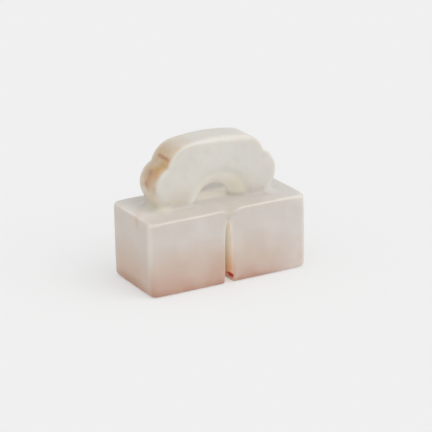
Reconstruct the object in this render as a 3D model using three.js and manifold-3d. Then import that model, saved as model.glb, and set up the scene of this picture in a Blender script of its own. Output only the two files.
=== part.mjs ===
// A double seal carved from one piece of pale jade: two square seal blocks side by side, parted
// by a narrow groove, under one cloud-shaped knob that a flared, arched cord hole passes through.
// Millimetres, +Z up. The origin is the middle of the underside, +X runs along the two seals
// and +Y points to the back.
import * as THREE from "three";
import { mergeVertices } from "three/addons/utils/BufferGeometryUtils.js";
import Module from "manifold-3d";

// The block that the two seals share
const LENGTH = 40;
const DEPTH = 19.6;
const BLOCK_HEIGHT = 17.7;
const UPRIGHT_EDGE_RADIUS = 1.3;
const TOP_EDGE_RADIUS = 0.6;
const FOOT_EDGE_RADIUS = 1;

// The groove that parts the seals, cut in from the front and the back and open below. The cutting
// wheel's rim is a blunt wedge, so the walls splay towards the mouth.
const GROOVE_X = -0.35;
const GROOVE_WIDTH = 2.1;
const GROOVE_FLOOR_WIDTH = 0.7;
const GROOVE_DEPTH = 2.7;
const GROOVE_TOP = 15.7;
const RUN_OUT_START = 7.5;
const CHANNEL_HEIGHT = 1.7;

// The soft dip over the groove, where the top edge is rubbed down
const DIP_X = 0.4;
const DIP_RADIUS = 3.2;
const DIP_DEPTH = 0.7;
const DIP_LENGTH = 4.5;

// The knob, a cloud head of one wide lobe between two side lobes
const KNOB_X = -0.05;
const KNOB_HEIGHT = 15.1;
const KNOB_THICKNESS = 7.9;
const KNOB_EDGE_RADIUS = 0.85;
const FOOT_HALF_LENGTH = 13;
const FOOT_FILLET = 1;
const SIDE_LOBE_RADIUS = 5.3;
const SIDE_LOBE_X = 10.35;
const SIDE_LOBE_Z = 5.4;
const SHOULDER_RADIUS = 6.2;
const SHOULDER_X = 6.7;
const SHOULDER_Z = 8.35;

// The cord hole, ground in from the front and from the back. It is narrowest at the throat,
// where the two cuts meet, and runs a little askew: its middle shifts in x as it goes back.
const HOLE_THROAT_X = 0.35;
const HOLE_THROAT_Y = -1.2;
const HOLE_Z = -0.5;
const HOLE_SKEW = -0.3;
const HOLE_MOUTH_RADIUS = 8.15;
const HOLE_THROAT_RADIUS = 4.1;
const HOLE_FLARE_POWER = 1.4;

// The legends under the seals: stacks of shallow bars, joined in turn at one end and the other
const LEGEND_MARGIN = 2.4;
const LEGEND_COLUMNS = 2;
const LEGEND_ROWS = 5;
const COLUMN_GAP = 1.8;
const STROKE_WIDTH = 1.1;
const STROKE_DEPTH = 0.4;

// How finely curves are cut into facets, and how far cutters reach past what they cut
const CORNER_STEPS = 5;
const LOBE_STEPS = 10;
const HOLE_STEPS = 44;
const FLARE_STEPS = 6;
const OVERSHOOT = 2;
const MERGE_DISTANCE = 1e-4;

const wasm = await Module();
wasm.setup();

// A closed geometry as a solid, without its repeated corners and empty triangles.
function solidOf(geometry) {
  geometry.deleteAttribute("normal");
  geometry.deleteAttribute("uv");
  const merged = mergeVertices(geometry, MERGE_DISTANCE);
  const corners = merged.index.array;
  const triangles = [];
  for (let i = 0; i < corners.length; i += 3) {
    const [a, b, c] = corners.slice(i, i + 3);
    if (a !== b && b !== c && a !== c) {
      triangles.push(a, b, c);
    }
  }
  const mesh = new wasm.Mesh({
    numProp: 3,
    vertProperties: merged.attributes.position.array,
    triVerts: new Uint32Array(triangles),
  });
  return new wasm.Manifold(mesh);
}

// A solid as a geometry with flat faces.
function geometryOf(solid) {
  const mesh = solid.getMesh();
  const geometry = new THREE.BufferGeometry();
  geometry.setAttribute("position", new THREE.BufferAttribute(mesh.vertProperties, 3));
  geometry.setIndex(new THREE.BufferAttribute(mesh.triVerts, 1));
  const flat = geometry.toNonIndexed();
  flat.computeVertexNormals();
  return flat;
}

const X_AXIS = new THREE.Vector3(1, 0, 0);
const Y_AXIS = new THREE.Vector3(0, 1, 0);
const Z_AXIS = new THREE.Vector3(0, 0, 1);

// The three ways to stand an extruded outline: seen from above, from the front and from the side.
const PLAN = new THREE.Matrix4();
const FRONT = new THREE.Matrix4().makeBasis(X_AXIS, Z_AXIS, Y_AXIS.clone().negate());
const SIDE = new THREE.Matrix4().makeBasis(Y_AXIS, Z_AXIS, X_AXIS);

// An outline drawn in one of those views and extruded evenly to both sides of its plane.
function prism(outline, thickness, view, options = {}) {
  const geometry = new THREE.ExtrudeGeometry(outline, {
    depth: thickness,
    bevelEnabled: false,
    curveSegments: CORNER_STEPS,
    ...options,
  });
  geometry.computeBoundingBox();
  const { min, max } = geometry.boundingBox;
  geometry.translate(0, 0, -(min.z + max.z) / 2);
  return solidOf(geometry.applyMatrix4(view));
}

function box(sizeX, sizeY, sizeZ, x, y, z) {
  return solidOf(new THREE.BoxGeometry(sizeX, sizeY, sizeZ).translate(x, y, z));
}

// A rectangle from (left, low) to (right, high) with one radius below and another above.
function roundedOutline(left, right, low, high, lowRadius, highRadius) {
  const quarter = Math.PI / 2;
  const outline = new THREE.Shape();
  outline.moveTo(left + lowRadius, low);
  outline.absarc(right - lowRadius, low + lowRadius, lowRadius, -quarter, 0);
  outline.absarc(right - highRadius, high - highRadius, highRadius, 0, quarter);
  outline.absarc(left + highRadius, high - highRadius, highRadius, quarter, 2 * quarter);
  outline.absarc(left + lowRadius, low + lowRadius, lowRadius, 2 * quarter, 3 * quarter);
  return outline;
}

// The block before it is parted: one rounded outline from above, one from the front and one
// from the side, and what all three share.
function roundedBlock() {
  const halfLength = LENGTH / 2;
  const halfDepth = DEPTH / 2;
  const edge = UPRIGHT_EDGE_RADIUS;
  const fromAbove = roundedOutline(-halfLength, halfLength, -halfDepth, halfDepth, edge, edge);
  const fromFront = roundedOutline(
    -halfLength, halfLength, 0, BLOCK_HEIGHT, FOOT_EDGE_RADIUS, TOP_EDGE_RADIUS,
  );
  const fromSide = roundedOutline(
    -halfDepth, halfDepth, 0, BLOCK_HEIGHT, FOOT_EDGE_RADIUS, TOP_EDGE_RADIUS,
  );
  return prism(fromAbove, 2 * (BLOCK_HEIGHT + OVERSHOOT), PLAN)
    .intersect(prism(fromFront, DEPTH + OVERSHOOT, FRONT))
    .intersect(prism(fromSide, LENGTH + OVERSHOOT, SIDE));
}

// The groove on the front (-1) or the back (1), seen from the side. At its top it runs out in the
// wheel's arc. It is then splayed: as wide as the wheel's rim all along its floor, and evenly
// wider with the distance from there.
function groove(side) {
  const outside = DEPTH / 2 + OVERSHOOT;
  const floor = DEPTH / 2 - GROOVE_DEPTH;
  const rise = GROOVE_TOP - RUN_OUT_START;
  const wheelRadius = (GROOVE_DEPTH ** 2 + rise ** 2) / (2 * GROOVE_DEPTH);
  const wheelY = floor + wheelRadius;
  const outerAngle = Math.acos((outside - wheelY) / wheelRadius);
  const outline = new THREE.Shape();
  outline.moveTo(floor, -OVERSHOOT);
  outline.lineTo(outside, -OVERSHOOT);
  outline.lineTo(outside, RUN_OUT_START);
  outline.absarc(wheelY, RUN_OUT_START, wheelRadius, outerAngle, Math.PI);
  const geometry = new THREE.ExtrudeGeometry(outline, {
    depth: 1,
    bevelEnabled: false,
    curveSegments: CORNER_STEPS,
  });
  geometry.translate(0, 0, -1 / 2).applyMatrix4(SIDE);
  const splay = (GROOVE_WIDTH - GROOVE_FLOOR_WIDTH) / GROOVE_DEPTH;
  const corners = geometry.getAttribute("position");
  for (let i = 0; i < corners.count; i += 1) {
    const above = Math.max(corners.getZ(i) - RUN_OUT_START, 0);
    const localFloor = wheelY - Math.sqrt(wheelRadius ** 2 - above ** 2);
    const width = GROOVE_FLOOR_WIDTH + splay * (corners.getY(i) - localFloor);
    corners.setX(i, corners.getX(i) * width);
  }
  const half = side < 0 ? geometry.rotateZ(Math.PI) : geometry;
  return solidOf(half.translate(GROOVE_X, 0, 0));
}

// The channel that joins the two grooves under the web between the seals.
function channel() {
  return box(GROOVE_WIDTH, DEPTH + 2 * OVERSHOOT, 2 * CHANNEL_HEIGHT, GROOVE_X, 0, 0);
}

// The dip on the front (-1) or the back (1). A round cutter lies across the edge and rises until
// it leaves the top at the dip's inner end.
function dip(side) {
  const tilt = Math.atan(DIP_DEPTH / DIP_LENGTH);
  const cutter = new THREE.CylinderGeometry(DIP_RADIUS, DIP_RADIUS, 2 * DIP_LENGTH, HOLE_STEPS);
  cutter.rotateX(-side * tilt);
  cutter.translate(DIP_X, (side * DEPTH) / 2, BLOCK_HEIGHT + DIP_RADIUS - DIP_DEPTH);
  return solidOf(cutter);
}

// Where the outlines of a side lobe and its shoulder cross.
function notch() {
  const gapX = SIDE_LOBE_X - SHOULDER_X;
  const gapZ = SHOULDER_Z - SIDE_LOBE_Z;
  const gap = Math.hypot(gapX, gapZ);
  const along = (SIDE_LOBE_RADIUS ** 2 - SHOULDER_RADIUS ** 2 + gap ** 2) / (2 * gap);
  const across = Math.sqrt(SIDE_LOBE_RADIUS ** 2 - along ** 2);
  return new THREE.Vector2(
    SIDE_LOBE_X + (gapZ * across - gapX * along) / gap,
    SIDE_LOBE_Z + (gapZ * along + gapX * across) / gap,
  );
}

// The knob's outline turns from the foot round a side lobe to the notch, then round the shoulder,
// and runs in one wide flat arc to the other side. The top arc touches both shoulders.
function knobOutline() {
  const meeting = notch();
  const footAngle = -Math.acos((FOOT_HALF_LENGTH - SIDE_LOBE_X) / SIDE_LOBE_RADIUS);
  const lobeEnd = Math.atan2(meeting.y - SIDE_LOBE_Z, meeting.x - SIDE_LOBE_X);
  const shoulderStart = Math.atan2(meeting.y - SHOULDER_Z, meeting.x - SHOULDER_X);
  const rise = KNOB_HEIGHT - SHOULDER_Z;
  const topRadius =
    (SHOULDER_X ** 2 + rise ** 2 - SHOULDER_RADIUS ** 2) / (2 * (rise - SHOULDER_RADIUS));
  const topZ = KNOB_HEIGHT - topRadius;
  const topStart = Math.atan2(SHOULDER_Z - topZ, SHOULDER_X);
  const half = Math.PI;
  const outline = new THREE.Shape();
  outline.moveTo(FOOT_HALF_LENGTH, -OVERSHOOT);
  outline.absarc(SIDE_LOBE_X, SIDE_LOBE_Z, SIDE_LOBE_RADIUS, footAngle, lobeEnd);
  outline.absarc(SHOULDER_X, SHOULDER_Z, SHOULDER_RADIUS, shoulderStart, topStart);
  outline.absarc(0, topZ, topRadius, topStart, half - topStart);
  outline.absarc(-SHOULDER_X, SHOULDER_Z, SHOULDER_RADIUS, half - topStart, half - shoulderStart);
  outline.absarc(-SIDE_LOBE_X, SIDE_LOBE_Z, SIDE_LOBE_RADIUS, half - lobeEnd, half - footAngle);
  outline.lineTo(-FOOT_HALF_LENGTH, -OVERSHOOT);
  return outline;
}

// The flared foot where the knob's front and back run into the top of the block. It stops where
// the rounded edges of the side lobes begin.
function footFillet() {
  const face = KNOB_THICKNESS / 2;
  const outline = new THREE.Shape();
  outline.moveTo(-face - FOOT_FILLET, -OVERSHOOT);
  outline.lineTo(face + FOOT_FILLET, -OVERSHOOT);
  outline.lineTo(face + FOOT_FILLET, 0);
  outline.quadraticCurveTo(face, 0, face, FOOT_FILLET);
  outline.lineTo(-face, FOOT_FILLET);
  outline.quadraticCurveTo(-face, 0, -face - FOOT_FILLET, 0);
  return prism(outline, 2 * (FOOT_HALF_LENGTH - KNOB_EDGE_RADIUS), SIDE);
}

// The cord hole as a turned cutter, narrowest at the throat and flared to both faces.
function cordHole() {
  const half = KNOB_THICKNESS / 2;
  const frontLength = half + HOLE_THROAT_Y;
  const backLength = half - HOLE_THROAT_Y;
  const reach = 1 + OVERSHOOT / half;
  const profile = [new THREE.Vector2(0, -frontLength * reach)];
  for (let step = -FLARE_STEPS; step <= FLARE_STEPS; step += 1) {
    const out = (step / FLARE_STEPS) * reach;
    const flare = (HOLE_MOUTH_RADIUS - HOLE_THROAT_RADIUS) * Math.abs(out) ** HOLE_FLARE_POWER;
    const along = out * (step < 0 ? frontLength : backLength);
    profile.push(new THREE.Vector2(HOLE_THROAT_RADIUS + flare, along));
  }
  profile.push(new THREE.Vector2(0, backLength * reach));
  const skew = new THREE.Matrix4().makeShear(0, 0, HOLE_SKEW, 0, 0, 0);
  const cutter = new THREE.LatheGeometry(profile, HOLE_STEPS).applyMatrix4(skew);
  return solidOf(cutter.translate(HOLE_THROAT_X, HOLE_THROAT_Y, HOLE_Z));
}

function knob() {
  const bevel = KNOB_EDGE_RADIUS;
  const body = prism(knobOutline(), KNOB_THICKNESS - 2 * bevel, FRONT, {
    bevelEnabled: true,
    bevelThickness: bevel,
    bevelSize: bevel,
    bevelOffset: -bevel,
    bevelSegments: 3,
    curveSegments: LOBE_STEPS,
  });
  return body.add(footFillet())
    .translate([KNOB_X, 0, 0])
    .subtract(cordHole())
    .translate([0, 0, BLOCK_HEIGHT]);
}

// One seal's face, from its left side to its right side, and its legend: each column is a stack
// of bars with short uprights that join them at one end and the other in turn. A lead of 1 or -1
// says which end comes first.
function legend(left, right, lead) {
  const fieldWidth = right - left - 2 * LEGEND_MARGIN;
  const fieldDepth = DEPTH - 2 * LEGEND_MARGIN;
  const columnWidth = (fieldWidth - (LEGEND_COLUMNS - 1) * COLUMN_GAP) / LEGEND_COLUMNS;
  const rowPitch = (fieldDepth - STROKE_WIDTH) / (LEGEND_ROWS - 1);
  const height = 2 * STROKE_DEPTH;
  const bars = [];
  for (let column = 0; column < LEGEND_COLUMNS; column += 1) {
    const columnShift = (column - (LEGEND_COLUMNS - 1) / 2) * (columnWidth + COLUMN_GAP);
    const x = (left + right) / 2 + columnShift;
    for (let row = 0; row < LEGEND_ROWS; row += 1) {
      const y = (row - (LEGEND_ROWS - 1) / 2) * rowPitch;
      bars.push(box(columnWidth, STROKE_WIDTH, height, x, y, 0));
      if (row < LEGEND_ROWS - 1) {
        const turn = (row + column) % 2 === 0 ? lead : -lead;
        const end = (turn * (columnWidth - STROKE_WIDTH)) / 2;
        bars.push(box(STROKE_WIDTH, rowPitch, height, x + end, y + rowPitch / 2, 0));
      }
    }
  }
  return bars.reduce((joined, bar) => joined.add(bar));
}

// The left seal's strokes are sunk. The right seal's stand in a sunk field inside a rim.
function sealFaces() {
  const leftSeal = [-LENGTH / 2, GROOVE_X - GROOVE_WIDTH / 2];
  const rightSeal = [GROOVE_X + GROOVE_WIDTH / 2, LENGTH / 2];
  const [left, right] = rightSeal;
  const rim = LEGEND_MARGIN - STROKE_WIDTH;
  const fieldX = (left + right) / 2;
  const field = box(right - left - 2 * rim, DEPTH - 2 * rim, 2 * STROKE_DEPTH, fieldX, 0, 0);
  return legend(...leftSeal, 1).add(field.subtract(legend(...rightSeal, -1)));
}

function doubleSeal() {
  return roundedBlock()
    .subtract(dip(-1))
    .subtract(dip(1))
    .subtract(groove(-1))
    .subtract(groove(1))
    .subtract(channel())
    .subtract(sealFaces())
    .add(knob());
}

const jade = new THREE.MeshStandardMaterial({ color: 0xd8d2c8, roughness: 0.35, metalness: 0 });
const seal = new THREE.Mesh(geometryOf(doubleSeal()), jade);
seal.name = "double_seal";

const carving = new THREE.Group();
carving.add(seal);

export default carving;
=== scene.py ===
# The looks of the double seal in pale jade. The form is worked out in millimetres, as a distance
# from the surface at any point, and is then made into one mesh in metres.
import math
from collections import namedtuple

import bpy
import numpy as np
from mathutils import Matrix, Vector


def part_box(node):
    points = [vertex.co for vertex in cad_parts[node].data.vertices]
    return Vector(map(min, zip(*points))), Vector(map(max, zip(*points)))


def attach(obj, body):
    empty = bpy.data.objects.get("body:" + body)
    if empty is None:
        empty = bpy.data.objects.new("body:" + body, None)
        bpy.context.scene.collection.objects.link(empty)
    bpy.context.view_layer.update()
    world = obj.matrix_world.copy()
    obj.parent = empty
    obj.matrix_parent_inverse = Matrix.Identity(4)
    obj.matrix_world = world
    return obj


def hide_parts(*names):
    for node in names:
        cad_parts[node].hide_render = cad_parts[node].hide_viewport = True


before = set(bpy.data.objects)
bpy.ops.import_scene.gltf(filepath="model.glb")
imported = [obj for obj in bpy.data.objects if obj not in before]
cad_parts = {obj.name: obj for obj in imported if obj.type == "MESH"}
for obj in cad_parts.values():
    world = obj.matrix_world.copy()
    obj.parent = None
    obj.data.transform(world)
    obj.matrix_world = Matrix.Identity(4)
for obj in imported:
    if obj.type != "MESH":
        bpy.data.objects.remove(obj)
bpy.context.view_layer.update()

MM = 0.001
lowest, highest = (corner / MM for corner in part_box("double_seal"))

# The block that the two seals share
HALF_LENGTH = (highest.x - lowest.x) / 2
HALF_DEPTH = (highest.y - lowest.y) / 2
BLOCK_HEIGHT = 17.7
UPRIGHT_EDGE_RADIUS = 1.3
TOP_EDGE_RADIUS = 0.4
FOOT_EDGE_RADIUS = 0.9
CORNER_SOFTNESS = 0.6
CORNER_REACH = 2.6
PILLOW = 0.12

# The left seal's top is worn lower in front, over these distances from the middle
WORN_LEFT_TOP = 0.2
WORN_TOWARDS_LEFT = (1, 6)
WORN_TOWARDS_FRONT = (3, 9)

# The groove between the seals, cut by a wheel from the front and from the back, and open below
GROOVE_X = -0.35
GROOVE_WIDTH = 2.1
GROOVE_FLOOR_WIDTH = 0.7
GROOVE_DEPTH = 2.7
GROOVE_TOP = 15.7
RUN_OUT_START = 7.5
CHANNEL_HEIGHT = 1.7
GROOVE_FLOOR_RADIUS = 0.2
GROOVE_LIP = 0.4

# The groove's right lip is rubbed rounder low down on the front
WORN_LIP = 0.5
WORN_LIP_X = 0.7
WORN_LIP_Z = 2.2
WORN_LIP_SPREAD = 2.5
WORN_LIP_DEPTHS = (8.5, 9.6)

# The rubbed dip over the groove
DIP_X = 0.4
DIP_RADIUS = 3.2
DIP_DEPTH = 0.7
DIP_LENGTH = 4.5
DIP_SOFTNESS = 0.7

# The cloud-shaped knob
KNOB_X = -0.05
KNOB_HEIGHT = highest.z - lowest.z - BLOCK_HEIGHT
KNOB_HALF_THICKNESS = 3.95
KNOB_ROOT = 2
KNOB_EDGE_RADIUS = 0.65
KNOB_PILLOW = 0.12
FOOT_HALF_LENGTH = 13
FOOT_FILLET = 1.0
LOBE_FILLET = 2.0
LOBE_FILLET_REACH = (11, 14)
INNER_FILLET = 0.4
INNER_FILLET_EASE = 2
SIDE_LOBE_RADIUS = 5.3
SIDE_LOBE_X = 10.35
SIDE_LOBE_Z = 5.4
SHOULDER_RADIUS = 6.2
SHOULDER_X = 6.7
SHOULDER_Z = 8.35

# The knob's front edge is softer along the left lobe and along the top from the middle rightwards
SOFT_FRONT = (-1, 1)
LOBE_SOFTNESS = 1.1
SOFT_LOBE_REACH = (7, 13)
RIM_SOFTNESS = 0.9
SOFT_RIM_START = (-6, 1)
SOFT_RIM_END = (11, 7)
SOFT_RIM_HEIGHT = (8, 11)

# A short cut across the left shoulder's side, just above the notch, measured from the block's top
NICK_START = (-12.0, 0.9, 11.9)
NICK_END = (-12.0, -3.5, 11.85)
NICK_RADIUS = 0.24
NICK_LIP = 0.12

# The cord hole, ground in from both faces of the knob. It is narrowest at the throat and runs
# a little askew.
HOLE_THROAT_X = 0.35
HOLE_THROAT_Y = -1.2
HOLE_Z = -0.5
HOLE_SKEW = -0.3
HOLE_MOUTH_RADIUS = 8.15
HOLE_THROAT_RADIUS = 4.1
HOLE_FLARE_POWER = 1.4
HOLE_LIP = 0.45
HOLE_THROAT_LIP = 0.15
FLARE_LIMIT = 1.5

# The strokes under the seals
LEGEND_MARGIN = 2.4
LEGEND_COLUMNS = 2
LEGEND_ROWS = 5
COLUMN_GAP = 1.8
STROKE_WIDTH = 1.1
STROKE_DEPTH = 0.4
STROKE_EDGE = 0.1

# How uneven the hand-cut faces are, and how closely the mesh follows the form
HAND_CUT = 0.05
CELL = 0.3
FINE_CELL = 0.17
GRID_MARGIN = 0.6
SETTLING_STEPS = 3
EVENING_ROUNDS = 5
PROBE = 0.01
LEAST_STEEPNESS = 0.3

# Where the mesh is fine along each axis: at the edges, the groove, the nick, the knob's faces and
# its top
FINE_ALONG = ((-21, -18.6), (-12.4, -11.6), (-1.9, 1.4), (18.6, 21))
FINE_ACROSS = ((-11, -8.6), (-4.3, -3), (3, 4.3), (8.6, 11))
FINE_UPWARD = ((-1, 1.2), (16.8, 18.6), (29.2, 30), (31.6, 34))


# Two forms joined with a rounded inner corner, and what two forms share with a rounded edge.
def joined(a, b, radius):
    corner = np.hypot(np.maximum(radius - a, 0), np.maximum(radius - b, 0))
    return np.maximum(radius, np.minimum(a, b)) - corner


def shared(a, b, radius):
    corner = np.hypot(np.maximum(radius + a, 0), np.maximum(radius + b, 0))
    return np.minimum(-radius, np.maximum(a, b)) + corner


def cut(body, cutter, radius):
    return shared(body, -cutter, radius)


# From 0 at start to 1 at end, with soft ends.
def ease(value, start, end):
    share = np.clip((value - start) / (end - start), 0, 1)
    return share * share * (3 - 2 * share)


# The slight waviness of faces that were ground by hand, as two pairs of crossed waves. It only
# takes stone away.
def hand_cut(x, y, z):
    wave = np.sin(0.43 * x + 0.31 * z + 1.1) * np.sin(0.52 * y - 0.22 * x + 0.4)
    ripple = np.sin(0.91 * z + 0.35 * x + 2.0) * np.sin(0.83 * x + 0.47 * y - 0.6)
    return HAND_CUT * (1 + 0.6 * wave + 0.4 * ripple) / 2


def block(x, y, z):
    up = (z - BLOCK_HEIGHT / 2) / (BLOCK_HEIGHT / 2)
    along = x / HALF_LENGTH
    back = y / HALF_DEPTH
    ends = np.abs(x) - HALF_LENGTH + PILLOW * (back**2 + up**2) / 2
    sides = np.abs(y) - HALF_DEPTH + PILLOW * (along**2 + up**2) / 2
    worn = WORN_LEFT_TOP * ease(-x, *WORN_TOWARDS_LEFT) * ease(-y, *WORN_TOWARDS_FRONT)
    top = z - BLOCK_HEIGHT + worn + PILLOW * (along**4 + back**4) / 4
    off_corner = (HALF_LENGTH - np.abs(x)) ** 2 + (HALF_DEPTH - np.abs(y)) ** 2
    softness = CORNER_SOFTNESS * np.exp(-off_corner / CORNER_REACH**2)
    uprights = shared(ends, sides, UPRIGHT_EDGE_RADIUS + softness / 2)
    capped = shared(uprights, top, TOP_EDGE_RADIUS + softness)
    return shared(capped, -z, FOOT_EDGE_RADIUS + softness / 2)


# The cutting wheel's arc at the groove's top runs into a straight floor. The wheel's rim is a
# blunt wedge, so the walls splay. A channel passes right through below.
def groove(x, y, z):
    floor = HALF_DEPTH - GROOVE_DEPTH
    rise = GROOVE_TOP - RUN_OUT_START
    wheel_radius = (GROOVE_DEPTH**2 + rise**2) / (2 * GROOVE_DEPTH)
    above = np.maximum(z - RUN_OUT_START, 0)
    inward = np.abs(y)
    local_floor = floor + wheel_radius - np.sqrt(np.maximum(wheel_radius**2 - above**2, 0))
    arc = np.hypot(inward - floor - wheel_radius, above) - wheel_radius
    depth = np.where(z > RUN_OUT_START, arc, floor - inward)
    splay = (GROOVE_WIDTH - GROOVE_FLOOR_WIDTH) / GROOVE_DEPTH / 2
    off_middle = np.abs(x - GROOVE_X)
    opening = GROOVE_FLOOR_WIDTH / 2 + splay * np.maximum(inward - local_floor, 0)
    wedge = shared((off_middle - opening) / np.hypot(1, splay), depth, GROOVE_FLOOR_RADIUS)
    channel = np.maximum(off_middle - GROOVE_WIDTH / 2, z - CHANNEL_HEIGHT)
    return np.minimum(wedge, channel)


def dip(x, y, z):
    lift = DIP_DEPTH * (HALF_DEPTH - np.abs(y)) / DIP_LENGTH
    return np.hypot(x - DIP_X, z - BLOCK_HEIGHT - DIP_RADIUS + DIP_DEPTH - lift) - DIP_RADIUS


# The knob's outline from the front: one wide arc that touches both shoulders, over side lobes.
def cloud_outline(x, up):
    side = np.abs(x)
    rise = KNOB_HEIGHT - SHOULDER_Z
    top_radius = (SHOULDER_X**2 + rise**2 - SHOULDER_RADIUS**2) / (2 * (rise - SHOULDER_RADIUS))
    top_z = KNOB_HEIGHT - top_radius
    under_top_arc = side * (SHOULDER_Z - top_z) < SHOULDER_X * (up - top_z)
    shoulder = np.hypot(side - SHOULDER_X, up - SHOULDER_Z) - SHOULDER_RADIUS
    main = np.where(under_top_arc, np.hypot(side, up - top_z) - top_radius, shoulder)
    lobe = np.hypot(side - SIDE_LOBE_X, up - SIDE_LOBE_Z) - SIDE_LOBE_RADIUS
    foot = np.maximum(side - FOOT_HALF_LENGTH, up - SIDE_LOBE_Z)
    return np.minimum(np.minimum(main, lobe), foot)


def cord_hole(x, y, up):
    from_throat = y - HOLE_THROAT_Y
    length = KNOB_HALF_THICKNESS - HOLE_THROAT_Y * np.sign(from_throat)
    out = np.abs(from_throat) / length
    flare = HOLE_MOUTH_RADIUS - HOLE_THROAT_RADIUS
    radius = HOLE_THROAT_RADIUS + flare * (out**2 + HOLE_THROAT_LIP**2) ** (HOLE_FLARE_POWER / 2)
    slope = flare * HOLE_FLARE_POWER * np.minimum(out, FLARE_LIMIT) ** (HOLE_FLARE_POWER - 1) / length
    middle = HOLE_THROAT_X + HOLE_SKEW * from_throat
    return (np.hypot(x - middle, up - HOLE_Z) - radius) / np.sqrt(1 + slope**2)


# How far a point is from the straight line between two others.
def off_line(x, y, z, start, end):
    along = np.subtract(end, start)
    off = (x - start[0], y - start[1], z - start[2])
    reach = sum(a * o for a, o in zip(along, off)) / (along**2).sum()
    reach = np.clip(reach, 0, 1)
    return np.sqrt(sum((o - a * reach) ** 2 for a, o in zip(along, off)))


def knob(x, y, z):
    up = z - BLOCK_HEIGHT
    outline = np.maximum(cloud_outline(x - KNOB_X, up), -KNOB_ROOT - up)
    fullness = KNOB_PILLOW * (((x - KNOB_X) / FOOT_HALF_LENGTH) ** 2 + (up / KNOB_HEIGHT) ** 2)
    faces = np.abs(y) - KNOB_HALF_THICKNESS + fullness / 2
    soft_lobe = LOBE_SOFTNESS * ease(KNOB_X - x, *SOFT_LOBE_REACH)
    soft_rim = RIM_SOFTNESS * ease(x, *SOFT_RIM_START) * ease(x, *SOFT_RIM_END)
    softness = (soft_lobe + soft_rim * ease(up, *SOFT_RIM_HEIGHT)) * ease(-y, *SOFT_FRONT)
    body = shared(outline, faces, KNOB_EDGE_RADIUS + softness)
    nick = off_line(x, y, up, NICK_START, NICK_END) - NICK_RADIUS
    return cut(cut(body, nick, NICK_LIP), cord_hole(x, y, up), HOLE_LIP)


def bar(x, y, middle, size):
    return np.maximum(np.abs(x - middle[0]) - size[0] / 2, np.abs(y - middle[1]) - size[1] / 2)


# A seal's strokes from below: each column is a stack of bars, joined in turn at one end and the
# other. A lead of 1 or -1 says which end comes first.
def legend(x, y, left, right, lead):
    field_width = right - left - 2 * LEGEND_MARGIN
    column_width = (field_width - (LEGEND_COLUMNS - 1) * COLUMN_GAP) / LEGEND_COLUMNS
    row_pitch = (2 * HALF_DEPTH - 2 * LEGEND_MARGIN - STROKE_WIDTH) / (LEGEND_ROWS - 1)
    strokes = np.full(np.broadcast(x, y).shape, np.inf)
    for column in range(LEGEND_COLUMNS):
        shift = (column - (LEGEND_COLUMNS - 1) / 2) * (column_width + COLUMN_GAP)
        middle = (left + right) / 2 + shift
        for row in range(LEGEND_ROWS):
            row_y = (row - (LEGEND_ROWS - 1) / 2) * row_pitch
            level = bar(x, y, (middle, row_y), (column_width, STROKE_WIDTH))
            strokes = np.minimum(strokes, level)
            if row < LEGEND_ROWS - 1:
                turn = lead if (row + column) % 2 == 0 else -lead
                end = middle + turn * (column_width - STROKE_WIDTH) / 2
                upright = bar(x, y, (end, row_y + row_pitch / 2), (STROKE_WIDTH, row_pitch))
                strokes = np.minimum(strokes, upright)
    return strokes


# The left seal's strokes are sunk. The right seal's stand in a sunk field inside a rim.
def seal_faces(x, y, z):
    left_end = GROOVE_X - GROOVE_WIDTH / 2
    right_start = GROOVE_X + GROOVE_WIDTH / 2
    sunk = legend(x, y, -HALF_LENGTH, left_end, 1)
    rim = LEGEND_MARGIN - STROKE_WIDTH
    middle = ((right_start + HALF_LENGTH) / 2, 0)
    field = bar(x, y, middle, (HALF_LENGTH - right_start - 2 * rim, 2 * (HALF_DEPTH - rim)))
    standing = legend(x, y, right_start, HALF_LENGTH, -1)
    plan = np.minimum(sunk, np.maximum(field, -standing))
    return shared(plan, z - STROKE_DEPTH, STROKE_EDGE)


# How far a point is outside (or, below 0, inside) the finished carving.
def carving(x, y, z):
    off_wear = ((x - WORN_LIP_X) ** 2 + (z - WORN_LIP_Z) ** 2) / WORN_LIP_SPREAD
    worn = WORN_LIP * np.exp(-off_wear) * ease(-y, *WORN_LIP_DEPTHS)
    body = cut(block(x, y, z), groove(x, y, z), GROOVE_LIP + worn)
    body = cut(body, dip(x, y, z), DIP_SOFTNESS)
    body = cut(body, seal_faces(x, y, z), STROKE_EDGE)
    inward = HOLE_MOUTH_RADIUS - np.hypot(x - HOLE_THROAT_X, y)
    fillet = FOOT_FILLET + (INNER_FILLET - FOOT_FILLET) * ease(inward, 0, INNER_FILLET_EASE)
    fillet = fillet + LOBE_FILLET * ease(np.abs(x - KNOB_X), *LOBE_FILLET_REACH)
    return joined(body, knob(x, y, z), fillet) + hand_cut(x, y, z)


# Grid lines from low to high, close together where a fine band lies on the axis.
def grid_lines(low, high, bands):
    lines = [low]
    while lines[-1] < high:
        at = lines[-1]
        fine = any(start <= at <= end for start, end in bands)
        lines.append(at + (FINE_CELL if fine else CELL))
    return np.array(lines)


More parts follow.
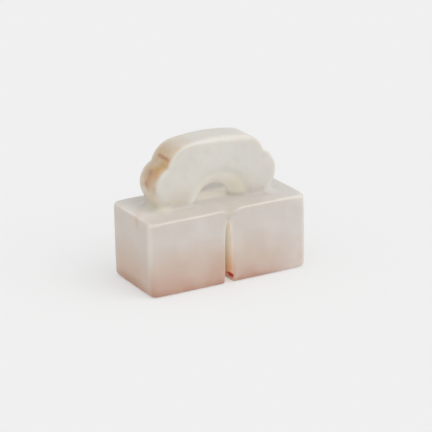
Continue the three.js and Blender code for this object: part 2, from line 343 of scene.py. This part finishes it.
# One vertex in each cell that the surface crosses, at the mean of its crossings, and one
# four-sided face round each grid line's crossing.
def surface_net(values, lines):
    cells = tuple(size - 1 for size in values.shape)
    total = np.zeros((*cells, 3))
    count = np.zeros(cells)
    turned = [(axis, (axis + 1) % 3, (axis + 2) % 3) for axis in range(3)]
    for order in turned:
        field = values.transpose(order)
        low, high = field[:-1], field[1:]
        crossed = (low < 0) != (high < 0)
        share = np.where(crossed, low / np.where(crossed, low - high, 1), 0)
        start, second, third = (lines[axis] for axis in order)
        step = np.diff(start)[:, None, None]
        ordered = [
            start[:-1, None, None] + share * step,
            np.broadcast_to(second[None, :, None], share.shape),
            np.broadcast_to(third[None, None, :], share.shape),
        ]
        places = total.transpose((*order, 3))
        counts = count.transpose(order)
        for j in (0, 1):
            for k in (0, 1):
                window = (slice(None), slice(j, j + counts.shape[1]), slice(k, k + counts.shape[2]))
                counts += crossed[window]
                for axis, value in zip(order, ordered):
                    places[..., axis] += np.where(crossed[window], value[window], 0)
    used = count > 0
    index = np.full(cells, -1)
    index[used] = np.arange(used.sum())
    faces = []
    for order in turned:
        inside = values.transpose(order)[:, 1:-1, 1:-1] < 0
        corner = index.transpose(order)
        i, j, k = np.nonzero(inside[:-1] != inside[1:])
        around = ((0, 0), (1, 0), (1, 1), (0, 1))
        ring = np.stack([corner[i, j + dj, k + dk] for dj, dk in around], 1)
        outward = inside[:-1][i, j, k]
        faces.append(np.where(outward[:, None], ring, ring[:, ::-1]))
    return total[used] / count[used][:, None], np.concatenate(faces)


# Moves points straight to the surface in a few steps.
def settle(points, steps):
    for _ in range(steps):
        x, y, z = points.T
        distance = carving(x, y, z)
        slope = np.stack(
            [
                carving(x + PROBE, y, z) - carving(x - PROBE, y, z),
                carving(x, y + PROBE, z) - carving(x, y - PROBE, z),
                carving(x, y, z + PROBE) - carving(x, y, z - PROBE),
            ],
            1,
        ) / (2 * PROBE)
        steepness = np.maximum((slope**2).sum(1), LEAST_STEEPNESS)
        move = slope * (distance / steepness)[:, None]
        length = np.linalg.norm(move, axis=1)[:, None]
        points = points - move * np.minimum(1, FINE_CELL / np.maximum(length, 1e-9))
    return points


# Evens the mesh out: each point moves towards the mean of its neighbours, then back to the
# surface.
def even_out(points, faces):
    start = faces.ravel()
    end = np.roll(faces, -1, axis=1).ravel()
    count = np.bincount(start)
    for _ in range(EVENING_ROUNDS):
        sums = [np.bincount(start, weights=points[end, axis]) for axis in range(3)]
        mean = np.stack(sums, 1) / count[:, None]
        points = settle((points + mean) / 2, 1)
    return settle(points, 1)


def carve_stone():
    reach = (HALF_LENGTH + GRID_MARGIN, HALF_DEPTH + GRID_MARGIN, BLOCK_HEIGHT + KNOB_HEIGHT)
    lines = [
        grid_lines(-reach[0], reach[0], FINE_ALONG),
        grid_lines(-reach[1], reach[1], FINE_ACROSS),
        grid_lines(-GRID_MARGIN, reach[2] + GRID_MARGIN, FINE_UPWARD),
    ]
    x, y, z = np.meshgrid(*lines, indexing="ij", sparse=True)
    points, faces = surface_net(carving(x, y, z), lines)
    points = even_out(settle(points, SETTLING_STEPS), faces)
    mesh = bpy.data.meshes.new("carved_jade")
    mesh.from_pydata((points * MM).tolist(), [], faces.tolist())
    mesh.validate()
    mesh.shade_smooth()
    stone = bpy.data.objects.new("carved_jade", mesh)
    bpy.context.scene.collection.objects.link(stone)
    print("carved_jade:", 2 * len(faces), "triangles")
    return stone


# A colour as it is seen on screen, 0 to 255, as the linear values that a shader takes.
def seen(red, green, blue):
    def linear(value):
        value /= 255
        return value / 12.92 if value <= 0.04045 else ((value + 0.055) / 1.055) ** 2.4

    return (linear(red), linear(green), linear(blue), 1)


# Adds nodes one by one. add returns the node itself, feed returns nothing, and each of the others
# returns what its node gives out.
class Recipe:
    def __init__(self, tree):
        self.nodes = tree.nodes
        self.links = tree.links

    def add(self, kind, **settings):
        node = self.nodes.new(kind)
        for name, value in settings.items():
            setattr(node, name, value)
        return node

    def feed(self, socket, value):
        if isinstance(value, bpy.types.NodeSocket):
            self.links.new(value, socket)
        else:
            socket.default_value = value

    def math(self, operation, *values):
        node = self.add("ShaderNodeMath", operation=operation)
        for socket, value in zip(node.inputs, values):
            self.feed(socket, value)
        return node.outputs[0]

    def times(self, first, *others):
        product = first
        for other in others:
            product = self.math("MULTIPLY", product, other)
        return product

    def vector(self, operation, *values, scale=None, result="Vector"):
        node = self.add("ShaderNodeVectorMath", operation=operation)
        for socket, value in zip(node.inputs, values):
            self.feed(socket, value)
        if scale is not None:
            self.feed(node.inputs["Scale"], scale)
        return node.outputs[result]

    def parts(self, vector):
        node = self.add("ShaderNodeSeparateXYZ")
        self.feed(node.inputs[0], vector)
        return node.outputs

    # From low at start to high at end, with soft ends
    def fade(self, value, start, end, low=0.0, high=1.0):
        node = self.add("ShaderNodeMapRange", interpolation_type="SMOOTHSTEP")
        node.inputs["From Min"].default_value = start
        node.inputs["From Max"].default_value = end
        node.inputs["To Min"].default_value = low
        node.inputs["To Max"].default_value = high
        self.feed(node.inputs["Value"], value)
        return node.outputs["Result"]

    # 0 below low, 1 above high and even between
    def blend(self, value, low, high):
        node = self.add("ShaderNodeMapRange")
        node.inputs["From Min"].default_value = low
        node.inputs["From Max"].default_value = high
        self.feed(node.inputs["Value"], value)
        return node.outputs["Result"]

    def noise(self, place, size, detail, roughness=0.55):
        node = self.add("ShaderNodeTexNoise")
        self.feed(node.inputs["Vector"], place)
        node.inputs["Scale"].default_value = 1 / size
        node.inputs["Detail"].default_value = detail
        node.inputs["Roughness"].default_value = roughness
        return node.outputs["Fac"]

    def mix(self, share, a, b):
        node = self.add("ShaderNodeMix", data_type="RGBA")
        self.feed(node.inputs["Factor"], share)
        self.feed(node.inputs[6], a)
        self.feed(node.inputs[7], b)
        return node.outputs[2]

    # 1 on the line from start to end, fading to 0 at that width from it
    def line(self, place, start, end, width):
        along = Vector(end) - Vector(start)
        off = self.vector("SUBTRACT", place, Vector(start))
        reach = self.vector("DOT_PRODUCT", off, along / along.length_squared, result="Value")
        reach = self.math("MAXIMUM", self.math("MINIMUM", reach, 1.0), 0.0)
        foot = self.vector("SCALE", along, scale=reach)
        away = self.vector("LENGTH", self.vector("SUBTRACT", off, foot), result="Value")
        return self.fade(away, 0.0, width, 1.0, 0.0)

    # 1 at a place, fading to 0 at that distance from it
    def spot(self, place, middle, size):
        off = self.vector("SUBTRACT", place, Vector(middle))
        scaled = self.vector("DIVIDE", off, Vector(size))
        away = self.vector("LENGTH", scaled, result="Value")
        return self.fade(away, 0.0, 1.0, 1.0, 0.0)

    # The strongest of several streaks at a place
    def streaks(self, place, streaks):
        share = 0.0
        for streak in streaks:
            line = self.line(place, streak.start, streak.end, streak.width)
            share = self.math("MAXIMUM", share, self.times(line, streak.strength))
        return share

    # The colour with a patch laid over it
    def lay(self, patch, place, colour):
        share = self.spot(place, patch.middle, patch.reach)
        return self.mix(self.times(share, patch.strength), colour, patch.colour)


# The colours of the stone, from the seal faces up to the knob, and the heights that they belong to
STONE_BY_HEIGHT = (
    (0.2, seen(182, 140, 121)),
    (1.8, seen(197, 167, 152)),
    (6.0, seen(204, 186, 173)),
    (12.5, seen(209, 202, 196)),
    (17.8, seen(207, 201, 194)),
    (20.5, seen(216, 213, 206)),
)

# The waxed surface, its faint undulation and how far light travels under it
WAX_ROUGHNESS = 0.3
GRAIN_SIZE = 2.2
GRAIN_HEIGHT = 0.05
GRAIN_STRENGTH = 0.2
JADE_IOR = 1.6
JADE_SHEEN = 0.35
LIGHT_DEPTH = 1.2
LIGHT_DEPTH_BY_COLOUR = (1.0, 0.85, 0.7)

# The colours of its clouds and stains, and of the light and shade painted on it
MILKY = seen(226, 222, 215)
COOL_END = seen(213, 207, 204)
CREAM = seen(206, 192, 174)
LOW_PINK = seen(197, 166, 149)
LOW_BROWN = seen(162, 114, 84)
END_TAN = seen(202, 168, 142)
TAN_SKIN = seen(201, 177, 148)
BROWN_SKIN = seen(194, 157, 100)
LOBE_BROWN = seen(194, 156, 120)
DARK_SKIN = seen(140, 98, 62)
NICK_BROWN = seen(172, 104, 60)
BLUSH = seen(206, 184, 164)
# Painted light: these two pale colours inside the cord hole stand in for light through its thin stone
HOLE_PAINTED_GLOW = seen(236, 232, 222)
DEEP_HOLE_PAINTED_GLOW = seen(252, 244, 232)
# These three are lighter than the stone: partly its tint, partly painted light over shade
OLIVE = seen(224, 220, 203)
FOOT_GREEN = seen(220, 214, 188)
LOBE_CREAM = seen(230, 210, 182)
WARM_END = seen(204, 190, 176)
RUST = seen(190, 142, 98)
# This brown darkens the groove's floor line and the spot at its top, and is painted shade on the
# knob's front
MARK_AND_SHADE_BROWN = seen(150, 128, 104)
CINNABAR = seen(186, 44, 28)
# Painted shade that dims the highlight on the dip's front edge
DIP_PAINTED_SHADE = seen(186, 180, 164)
# These two are paler than the stone: painted light over the groove's shade, the red also its warm
# tint
GROOVE_PAINTED_LIGHT = seen(242, 234, 222)
GROOVE_RED = seen(232, 194, 154)


# A place that is given from the block's top upwards.
def on_knob(x, y, up):
    return (x, y, BLOCK_HEIGHT + up)


# A patch lays its colour over the stone round its middle. A streak runs between two places.
Patch = namedtuple("Patch", "middle reach strength colour")
Streak = namedtuple("Streak", "start end width strength")

# From here on, a pair whose name ends in X, Y, Z or UP gives the two places along that axis
# between which a tint fades in. UP is measured from the block's top. A pair that ends in BREAKS
# gives the two values of a noise between which a tint comes through.

# The stone's own unevenness, as the size of its drifts in millimetres and their strength
WARMTH_DRIFT = 7.0
WARMTH_DRIFT_RISE = 2.4
MILKY_DRIFT = 6.0
MILKY_BREAKS = (0.42, 0.7)
MILKY_STRENGTH = 0.22
CURD_DRIFT = 2.2
CURD_BREAKS = (0.42, 0.72)
CURD_STRENGTH = 0.2

# The right end stays paler lower down, and is cooler. The left end is warmer, with a brown foot.
# The front is pinker beside the groove and low on the left, with painted shade in cream at the
# knob's left foot.
RIGHT_END_PALER_X = (9.0, HALF_LENGTH)
RIGHT_END_RISE = 3.5
RIGHT_END_COOLER_X = (6.0, 19.0)
RIGHT_END_COOLNESS = 0.45
LEFT_END_X = (0.7 - HALF_LENGTH, 0.1 - HALF_LENGTH)
LEFT_END_Y = (0.1 - HALF_DEPTH, 1.8 - HALF_DEPTH)
LEFT_END_Z = (BLOCK_HEIGHT - 0.1, BLOCK_HEIGHT - 1.1)
LEFT_END_WARMTH = 0.4
STONE_AND_SHADE_PATCHES = (
    Patch((-HALF_LENGTH, 1.0, 1.0), (4.0, 13.0, 13.0), 0.4, END_TAN),
    Patch((-HALF_LENGTH, 0.0, 0.0), (4.0, 14.0, 4.0), 0.75, LOW_BROWN),
    Patch((-3.0, -HALF_DEPTH, 4.5), (5.5, 4.0, 6.0), 0.45, LOW_PINK),
    # Painted shade: darker cream where the knob's left foot meets the block's top
    Patch(on_knob(-9.5, -4.0, 2.0), (5.0, 2.5, 4.5), 0.45, CREAM),
)
LEFT_FRONT = Patch((-10.0, -HALF_DEPTH, 6.5), (11.0, 5.0, 8.0), 0.3, LOW_PINK)

# A painted highlight, in the milky colour, along the upright edge between the front and the left
# end, and the milky left of the top
EDGE_HIGHLIGHT = Streak((-HALF_LENGTH, -8.9, 3.0), (-HALF_LENGTH, -8.9, 16.8), 1.7, 0.65)
EDGE_HIGHLIGHT_Z = (2.0, 12.0)
TOP_LEFT_MIDDLE = (-18.0, 1.0, BLOCK_HEIGHT)
TOP_LEFT_REACH = (6.5, 12.0, 1.2)
TOP_LEFT_Z = (BLOCK_HEIGHT - 0.6, BLOCK_HEIGHT - 0.1)
TOP_LEFT_STRENGTHS = (0.1, 0.85)

# The skin, which starts where the knob's surface turns away from the front, and is thinner at
# the back. TURN is how squarely the surface faces front or back there.
SKIN_TURN = (0.93, 0.55)
SKIN_X = (-5.5, -12.0)
SKIN_Y = (3.6, 1.6)
SKIN_AT_BACK = 0.3
SKIN_UP = (2.6, 6.0)
SKIN_PATCHINESS = 2.4
TAN_BREAKS = (0.25, 0.6)
TAN_LEAST = 0.6
BROWN_BREAKS = (0.2, 0.55)
BROWN_LEAST = 0.55
LOBE_BROWN_UP = (10.0, 8.0)

# The skin's brown from the notch down over the lobe, its dark blotches, the brown in the nick
# and a blush above
NOTCH_BROWN = Streak(on_knob(-12.4, -3.6, 10.6), on_knob(-14.6, -1.2, 8.4), 2.9, 1.0)
LOBE_STREAK = Streak(on_knob(-15.0, -0.9, 7.9), on_knob(-15.65, -0.2, 5.7), 1.9, 1.0)
UPPER_BLOTCH = (on_knob(-14.7, 0.1, 8.5), (1.5, 1.7, 1.3))
LOWER_BLOTCH = (on_knob(-15.7, 0.2, 6.0), (1.2, 0.9, 1.0))
BLOTCH_STRENGTH = 0.42
NICK_STREAK = Streak(on_knob(*NICK_START), on_knob(*NICK_END), 0.8, 0.7)
BLUSH_PATCH = Patch(on_knob(-6.5, -0.5, 14.2), (3.0, 4.5, 2.5), 0.4, BLUSH)

# Painted light inside the cord hole: a paler colour that stands in for light through its thin
# stone and takes out its shade, near the hole's axis, above its floor from the front mouth
# inwards, and deep in it on the floor too. The painted light is warmer deep in it.
LIT_OFF_AXIS = (HOLE_MOUTH_RADIUS + 0.4, HOLE_MOUTH_RADIUS - 1.4)
LIT_FLOOR_Z = (BLOCK_HEIGHT + 0.3, BLOCK_HEIGHT + 1.4)
LIT_FRONT_Y = (-KNOB_HALF_THICKNESS - 0.5, -KNOB_HALF_THICKNESS + 0.9)
LIT_DEEP_Y = (-2.5, 1.0)
LIT_DEEP_STRENGTH = 0.9
LIT_BACK_Y = (6.5, 3.0)
WARM_DEPTH_Y = (-2.2, -0.4)

# Green and cream tints, partly the stone's colour and partly painted light over its shade: the
# hole's right flare, and the left lobe above its foot
GREEN_AND_PAINTED_LIGHT_PATCHES = (
    Patch(on_knob(6.5, -2.0, 3.0), (4.0, 4.0, 5.0), 0.6, OLIVE),
    Patch(on_knob(-13.8, -1.0, 0.8), (3.2, 6.0, 3.0), 0.75, FOOT_GREEN),
    Patch(on_knob(-15.2, -0.5, 2.8), (2.4, 4.5, 2.6), 0.8, LOBE_CREAM),
)

# The tint inside the groove, paler than the stone as painted light over the groove's shade, and
# redder low down. Its X is measured from the groove's middle, and its Y from the block's.
GROOVE_TINT_X = (GROOVE_WIDTH / 2 + 0.3, GROOVE_WIDTH / 2 - 0.2)
GROOVE_TINT_Y = (HALF_DEPTH, HALF_DEPTH - 0.5)
GROOVE_TINT_Z = (GROOVE_TOP + 0.6, GROOVE_TOP - 1.5)
GROOVE_TINT_STRENGTH = 0.9
GROOVE_RED_Z = (9.0, 1.5)

# A darker line along the groove's floor and a darker spot at its top, and painted shade that
# dims the highlight on the dip's front edge
FLOOR_LEFT = (GROOVE_X - GROOVE_FLOOR_WIDTH / 2, GROOVE_DEPTH - HALF_DEPTH)
GROOVE_LINE = Streak((*FLOOR_LEFT, 11.0), (*FLOOR_LEFT, 3.0), 0.8, 0.45)
PIT_MIDDLE = (-0.7, -HALF_DEPTH, 15.5)
PIT_REACH = (0.5, 0.8, 0.6)
PIT_STRENGTH = 0.4
DIP_EDGE = (DIP_X - 0.2, -HALF_DEPTH, BLOCK_HEIGHT - DIP_DEPTH)
DIP_SHADE_PATCH = Patch(DIP_EDGE, (2.4, 1.9, 1.5), 0.75, DIP_PAINTED_SHADE)

# The red paste low in the groove, how ragged it is and how much rougher than the stone
PASTE_MIDDLE = (0.35, -8.3, 1.5)
PASTE_REACH = (1.2, 3.2, 1.3)
PASTE_RAGGEDNESS = 0.8
PASTE_RAGGED_SHARE = 0.5
PASTE_EDGE = (0.55, 0.85)
PASTE_ROUGHER = 0.35

# The paste in the strokes: between the face and the stroke's floor, broken up, and clear of the
# block's sides
STROKE_PASTE_Z = (STROKE_DEPTH + 0.05, STROKE_DEPTH - 0.15)
STROKE_FACE_Z = (0.05, 0.25)
STROKE_PASTE_BREAKS = (0.3, 0.55)
STROKE_PASTE_MARGIN = (1.0, 1.3)

# Faint painted shade on the knob's front at the right: in the notch and at the arch's foot
KNOB_FRONT = -KNOB_HALF_THICKNESS
FRONT_PAINTED_SHADE = (
    Streak(on_knob(13.9, KNOB_FRONT, 9.4), on_knob(12.6, KNOB_FRONT, 8.9), 0.9, 1.0),
    Streak(on_knob(8.6, KNOB_FRONT, 1.1), on_knob(8.8, KNOB_FRONT, 2.2), 0.6, 1.0),
)
SHADE_PATCHINESS = 1.1
SHADE_BREAKS = (0.3, 0.6)
SHADE_STRENGTH = 0.14

# Faint rusty veins: one over the top's left edge and down the end. A faint line of the same
# colour runs on the cord hole's floor
RUSTY_VEINS = (
    Streak(on_knob(-15.9, 2.8, 0), on_knob(-19.4, -1.9, 0), 1.7, 0.5),
    Streak(on_knob(-19.6, -2.6, 0), (-HALF_LENGTH, -3.1, 15.9), 1.8, 1.0),
    Streak((-HALF_LENGTH, -3.1, 15.9), (-HALF_LENGTH, -3.3, 14.8), 1.1, 0.8),
    Streak(on_knob(1.6, 3.7, 0), on_knob(3.1, 3.6, 0), 0.35, 0.8),
    Streak(on_knob(3.1, 3.6, 0), on_knob(4.4, 1.4, 0), 0.35, 0.8),
)
VEIN_STRENGTH = 0.3
VEIN_WANDER = (0.0, 1.2, 0.8)
VEIN_WANDER_SIZE = 1.6
VEIN_PATCHINESS = 1.2
VEIN_BREAKS = (0.2, 0.6)


# The stone warms evenly towards the seal faces, less so at the right end, with faint milky drifts
# and curds in it. It also carries a painted highlight on the front-left upright edge and painted
# shade at the knob's left foot.
def stone_body(recipe, place):
    x, y, z = recipe.parts(place)
    uneven = recipe.math("SUBTRACT", recipe.noise(place, WARMTH_DRIFT, 2.0, 0.5), 0.5)
    height = recipe.math("ADD", z, recipe.times(uneven, WARMTH_DRIFT_RISE))
    paler = recipe.fade(x, *RIGHT_END_PALER_X, 0.0, RIGHT_END_RISE)
    height = recipe.math("ADD", height, paler)
    colour = STONE_BY_HEIGHT[0][1]
    for (low, _), (high, upper) in zip(STONE_BY_HEIGHT, STONE_BY_HEIGHT[1:]):
        colour = recipe.mix(recipe.blend(height, low, high), colour, upper)
    right_end = recipe.fade(x, *RIGHT_END_COOLER_X, 0.0, RIGHT_END_COOLNESS)
    colour = recipe.mix(right_end, colour, COOL_END)
    drift = recipe.fade(recipe.noise(place, MILKY_DRIFT, 2.0, 0.5), *MILKY_BREAKS)
    colour = recipe.mix(recipe.times(drift, MILKY_STRENGTH), colour, MILKY)
    curds = recipe.fade(recipe.noise(place, CURD_DRIFT, 3.0), *CURD_BREAKS)
    colour = recipe.mix(recipe.times(curds, CURD_STRENGTH), colour, CREAM)
    left_end = recipe.fade(x, *LEFT_END_X, 0.0, LEFT_END_WARMTH)
    left_end = recipe.times(left_end, recipe.fade(y, *LEFT_END_Y), recipe.fade(z, *LEFT_END_Z))
    colour = recipe.mix(left_end, colour, WARM_END)
    for patch in STONE_AND_SHADE_PATCHES:
        colour = recipe.lay(patch, place, colour)
    # Painted highlight along the front-left upright edge
    worn = recipe.times(recipe.streaks(place, [EDGE_HIGHLIGHT]), recipe.fade(z, *EDGE_HIGHLIGHT_Z))
    colour = recipe.mix(worn, colour, MILKY)
    colour = recipe.lay(LEFT_FRONT, place, colour)
    on_top = recipe.fade(z, *TOP_LEFT_Z, *TOP_LEFT_STRENGTHS)
    top_left = recipe.times(recipe.spot(place, TOP_LEFT_MIDDLE, TOP_LEFT_REACH), on_top)
    return recipe.mix(top_left, colour, MILKY)


# The pebble's skin on the left side of the knob: tan above the notch, brown from the notch down
# over the lobe's top, with darker blotches, and almost gone towards the lobe's foot.
def pebble_skin(recipe, place, normal, colour):
    x, y, z = recipe.parts(place)
    up = recipe.math("SUBTRACT", z, BLOCK_HEIGHT)
    turned = recipe.fade(recipe.math("ABSOLUTE", recipe.parts(normal)[1]), *SKIN_TURN)
    side = recipe.times(turned, recipe.fade(y, *SKIN_Y, SKIN_AT_BACK, 1.0))
    broken = recipe.noise(place, SKIN_PATCHINESS, 3.0)
    tan = recipe.times(side, recipe.fade(x, *SKIN_X), recipe.fade(up, *SKIN_UP))
    tan = recipe.times(tan, recipe.fade(broken, *TAN_BREAKS, TAN_LEAST, 1.0))
    colour = recipe.mix(tan, colour, TAN_SKIN)
    brown = recipe.streaks(place, [NOTCH_BROWN, LOBE_STREAK])
    brown = recipe.times(brown, recipe.fade(broken, *BROWN_BREAKS, BROWN_LEAST, 1.0), side)
    tone = recipe.mix(recipe.fade(up, *LOBE_BROWN_UP), BROWN_SKIN, LOBE_BROWN)
    colour = recipe.mix(brown, colour, tone)
    upper = recipe.spot(place, *UPPER_BLOTCH)
    lower = recipe.spot(place, *LOWER_BLOTCH)
    blotch = recipe.times(recipe.math("MAXIMUM", upper, lower), BLOTCH_STRENGTH)
    colour = recipe.mix(blotch, colour, DARK_SKIN)
    colour = recipe.mix(recipe.streaks(place, [NICK_STREAK]), colour, NICK_BROWN)
    return recipe.lay(BLUSH_PATCH, place, colour)


# Painted light inside the cord hole, where its thin stone would let light through, and a greenish
# tint in its right flare that is partly painted light too. The left lobe's foot is tinted and
# lightened in the same way.
def painted_glow_and_green_tints(recipe, place, colour):
    _, y, z = recipe.parts(place)
    flat = recipe.vector("MULTIPLY", place, (1.0, 0.0, 1.0))
    middle = (HOLE_THROAT_X, 0.0, BLOCK_HEIGHT + HOLE_Z)
    off_axis = recipe.vector("LENGTH", recipe.vector("SUBTRACT", flat, middle), result="Value")
    near = recipe.times(recipe.fade(z, *LIT_FLOOR_Z), recipe.fade(y, *LIT_FRONT_Y))
    deep = recipe.fade(y, *LIT_DEEP_Y, 0.0, LIT_DEEP_STRENGTH)
    lit = recipe.times(recipe.math("MAXIMUM", near, deep), recipe.fade(y, *LIT_BACK_Y))
    inside = recipe.times(recipe.fade(off_axis, *LIT_OFF_AXIS), lit)
    warm = recipe.mix(recipe.fade(y, *WARM_DEPTH_Y), HOLE_PAINTED_GLOW, DEEP_HOLE_PAINTED_GLOW)
    colour = recipe.mix(inside, colour, warm)
    for patch in GREEN_AND_PAINTED_LIGHT_PATCHES:
        colour = recipe.lay(patch, place, colour)
    return colour


# A tint in the groove, paler than the stone as painted light over its shade and redder towards
# the bottom, with a darker line along its floor. Painted shade dims the edge of the dip above it.
def groove_tints_and_painted_light(recipe, place, colour):
    x, y, z = recipe.parts(place)
    off_middle = recipe.math("ABSOLUTE", recipe.math("SUBTRACT", x, GROOVE_X))
    between = recipe.fade(off_middle, *GROOVE_TINT_X)
    below_face = recipe.fade(recipe.math("ABSOLUTE", y), *GROOVE_TINT_Y)
    share = recipe.times(between, below_face, recipe.fade(z, *GROOVE_TINT_Z))
    tint = recipe.mix(recipe.fade(z, *GROOVE_RED_Z), GROOVE_PAINTED_LIGHT, GROOVE_RED)
    colour = recipe.mix(recipe.times(share, GROOVE_TINT_STRENGTH), colour, tint)
    # Painted shade over the dip's front edge, dimming its highlight
    colour = recipe.lay(DIP_SHADE_PATCH, place, colour)
    pit = recipe.times(recipe.spot(place, PIT_MIDDLE, PIT_REACH), PIT_STRENGTH)
    darker = recipe.math("MAXIMUM", recipe.streaks(place, [GROOVE_LINE]), pit)
    return recipe.mix(darker, colour, MARK_AND_SHADE_BROWN)


# Red paste that use has left low in the groove and in the strokes under the seals.
def paste_marks(recipe, place):
    x, y, z = recipe.parts(place)
    ragged = recipe.noise(place, PASTE_RAGGEDNESS, 3.0, 0.6)
    smear = recipe.spot(place, PASTE_MIDDLE, PASTE_REACH)
    smear = recipe.math("ADD", smear, recipe.times(ragged, PASTE_RAGGED_SHARE))
    smear = recipe.fade(smear, *PASTE_EDGE)
    in_strokes = recipe.times(recipe.fade(z, *STROKE_PASTE_Z), recipe.fade(z, *STROKE_FACE_Z))
    in_strokes = recipe.times(in_strokes, recipe.fade(ragged, *STROKE_PASTE_BREAKS))
    outer, inner = STROKE_PASTE_MARGIN
    for off, reach in ((x, HALF_LENGTH), (y, HALF_DEPTH)):
        within = recipe.fade(recipe.math("ABSOLUTE", off), reach - outer, reach - inner)
        in_strokes = recipe.times(in_strokes, within)
    return recipe.math("MAXIMUM", smear, in_strokes)


# Painted shade on the knob's front: in the right notch and at the arch's foot, broken up
def knob_painted_shade(recipe, place, colour):
    broken = recipe.fade(recipe.noise(place, SHADE_PATCHINESS, 2.0), *SHADE_BREAKS)
    share = recipe.times(recipe.streaks(place, FRONT_PAINTED_SHADE), broken, SHADE_STRENGTH)
    return recipe.mix(share, colour, MARK_AND_SHADE_BROWN)


# The veins wander a little and are broken here and there.
def rusty_veins(recipe, place, colour):
    wander = recipe.math("SUBTRACT", recipe.noise(place, VEIN_WANDER_SIZE, 2.0), 0.5)
    moved = recipe.vector("ADD", place, recipe.vector("SCALE", VEIN_WANDER, scale=wander))
    broken = recipe.fade(recipe.noise(place, VEIN_PATCHINESS, 2.0), *VEIN_BREAKS)
    share = recipe.times(recipe.streaks(moved, RUSTY_VEINS), broken, VEIN_STRENGTH)
    return recipe.mix(share, colour, RUST)


def waxy_jade():
    material = bpy.data.materials.new("waxy_jade")
    material.use_nodes = True
    recipe = Recipe(material.node_tree)
    coordinates = recipe.add("ShaderNodeTexCoord")
    place = recipe.vector("SCALE", coordinates.outputs["Object"], scale=1 / MM)
    colour = stone_body(recipe, place)
    colour = painted_glow_and_green_tints(recipe, place, colour)
    colour = pebble_skin(recipe, place, coordinates.outputs["Normal"], colour)
    colour = groove_tints_and_painted_light(recipe, place, colour)
    colour = knob_painted_shade(recipe, place, colour)
    colour = rusty_veins(recipe, place, colour)
    paste = paste_marks(recipe, place)
    colour = recipe.mix(paste, colour, CINNABAR)
    roughness = recipe.math("ADD", WAX_ROUGHNESS, recipe.times(paste, PASTE_ROUGHER))
    grain = recipe.noise(place, GRAIN_SIZE, 1.0, 0.5)
    bump = recipe.add("ShaderNodeBump")
    bump.inputs["Strength"].default_value = GRAIN_STRENGTH
    bump.inputs["Distance"].default_value = GRAIN_HEIGHT * MM
    recipe.feed(bump.inputs["Height"], grain)
    shader = recipe.nodes["Principled BSDF"]
    recipe.feed(shader.inputs["Base Color"], colour)
    recipe.feed(shader.inputs["Roughness"], roughness)
    recipe.feed(shader.inputs["Normal"], bump.outputs["Normal"])
    shader.inputs["IOR"].default_value = JADE_IOR
    shader.inputs["Subsurface Weight"].default_value = 1.0
    shader.inputs["Subsurface Radius"].default_value = LIGHT_DEPTH_BY_COLOUR
    shader.inputs["Subsurface Scale"].default_value = LIGHT_DEPTH * MM
    shader.inputs["Specular IOR Level"].default_value = JADE_SHEEN
    return material


# The floor and the light around the carving
FLOOR_SIZE = 6.0
FLOOR_COLOUR = (0.42, 0.42, 0.42, 1)
FLOOR_ROUGHNESS = 0.9
FLOOR_GLOW = 0.445
SKY_IN_FRONT = 0.93
SKY_BEHIND = 0.62
SKY_FRONT = Vector((-0.5, -0.8, 0.33))
SKY_BLEND = 0.7
KEY_STRENGTH = 0.8
KEY_SPREAD = math.radians(50)
KEY_FROM = Vector((0.5, -0.6, 0.9))


def make_floor():
    half = FLOOR_SIZE / 2
    mesh = bpy.data.meshes.new("floor")
    corners = [(-half, -half, 0), (half, -half, 0), (half, half, 0), (-half, half, 0)]
    mesh.from_pydata(corners, [], [(0, 1, 2, 3)])
    floor = bpy.data.objects.new("floor", mesh)
    material = bpy.data.materials.new("pale_floor")
    material.use_nodes = True
    shader = material.node_tree.nodes["Principled BSDF"]
    shader.inputs["Base Color"].default_value = FLOOR_COLOUR
    shader.inputs["Roughness"].default_value = FLOOR_ROUGHNESS
    shader.inputs["Specular IOR Level"].default_value = 0.0
    shader.inputs["Emission Color"].default_value = (1, 1, 1, 1)
    shader.inputs["Emission Strength"].default_value = FLOOR_GLOW
    mesh.materials.append(material)
    bpy.context.scene.collection.objects.link(floor)


def make_light():
    world = bpy.data.worlds.new("soft_sky")
    world.use_nodes = True
    recipe = Recipe(world.node_tree)
    direction = recipe.add("ShaderNodeTexCoord").outputs["Generated"]
    front = recipe.vector("DOT_PRODUCT", direction, SKY_FRONT.normalized(), result="Value")
    background = recipe.nodes["Background"]
    background.inputs["Color"].default_value = (1, 1, 1, 1)
    strength = recipe.fade(front, -SKY_BLEND, SKY_BLEND, SKY_BEHIND, SKY_IN_FRONT)
    recipe.feed(background.inputs["Strength"], strength)
    bpy.context.scene.world = world
    key = bpy.data.lights.new("key_light", "SUN")
    key.energy = KEY_STRENGTH
    key.angle = KEY_SPREAD
    lamp = bpy.data.objects.new("key_light", key)
    lamp.rotation_mode = "QUATERNION"
    lamp.rotation_quaternion = KEY_FROM.to_track_quat("Z", "Y")
    bpy.context.scene.collection.objects.link(lamp)


# Where the photograph was taken from, in millimetres, and how the camera was turned
CAMERA_PLACE = Vector((-196.146, -363.814, 157.471))
CAMERA_AZIMUTH = math.radians(-28.542)
CAMERA_ELEVATION = math.radians(19.247)
CAMERA_ROLL = math.radians(-1.202)
CAMERA_LENS = 160.15
CAMERA_SENSOR = 36
CAMERA_NEAREST = 0.05
CAMERA_FURTHEST = 20


def make_camera():
    data = bpy.data.cameras.new("camera")
    data.lens = CAMERA_LENS
    data.sensor_width = CAMERA_SENSOR
    data.clip_start = CAMERA_NEAREST
    data.clip_end = CAMERA_FURTHEST
    camera = bpy.data.objects.new("camera", data)
    turn = Matrix.Rotation(CAMERA_AZIMUTH, 3, "Z")
    tilt = Matrix.Rotation(math.radians(90) - CAMERA_ELEVATION, 3, "X")
    roll = Matrix.Rotation(CAMERA_ROLL, 3, "Z")
    pose = (turn @ tilt @ roll).to_4x4()
    pose.translation = CAMERA_PLACE * MM
    camera.matrix_world = pose
    bpy.context.scene.collection.objects.link(camera)
    bpy.context.scene.camera = camera


make_camera()
make_light()
make_floor()
stone = carve_stone()
stone.data.materials.append(waxy_jade())
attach(stone, "root")
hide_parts("double_seal")
bpy.context.scene.view_settings.view_transform = "Standard"
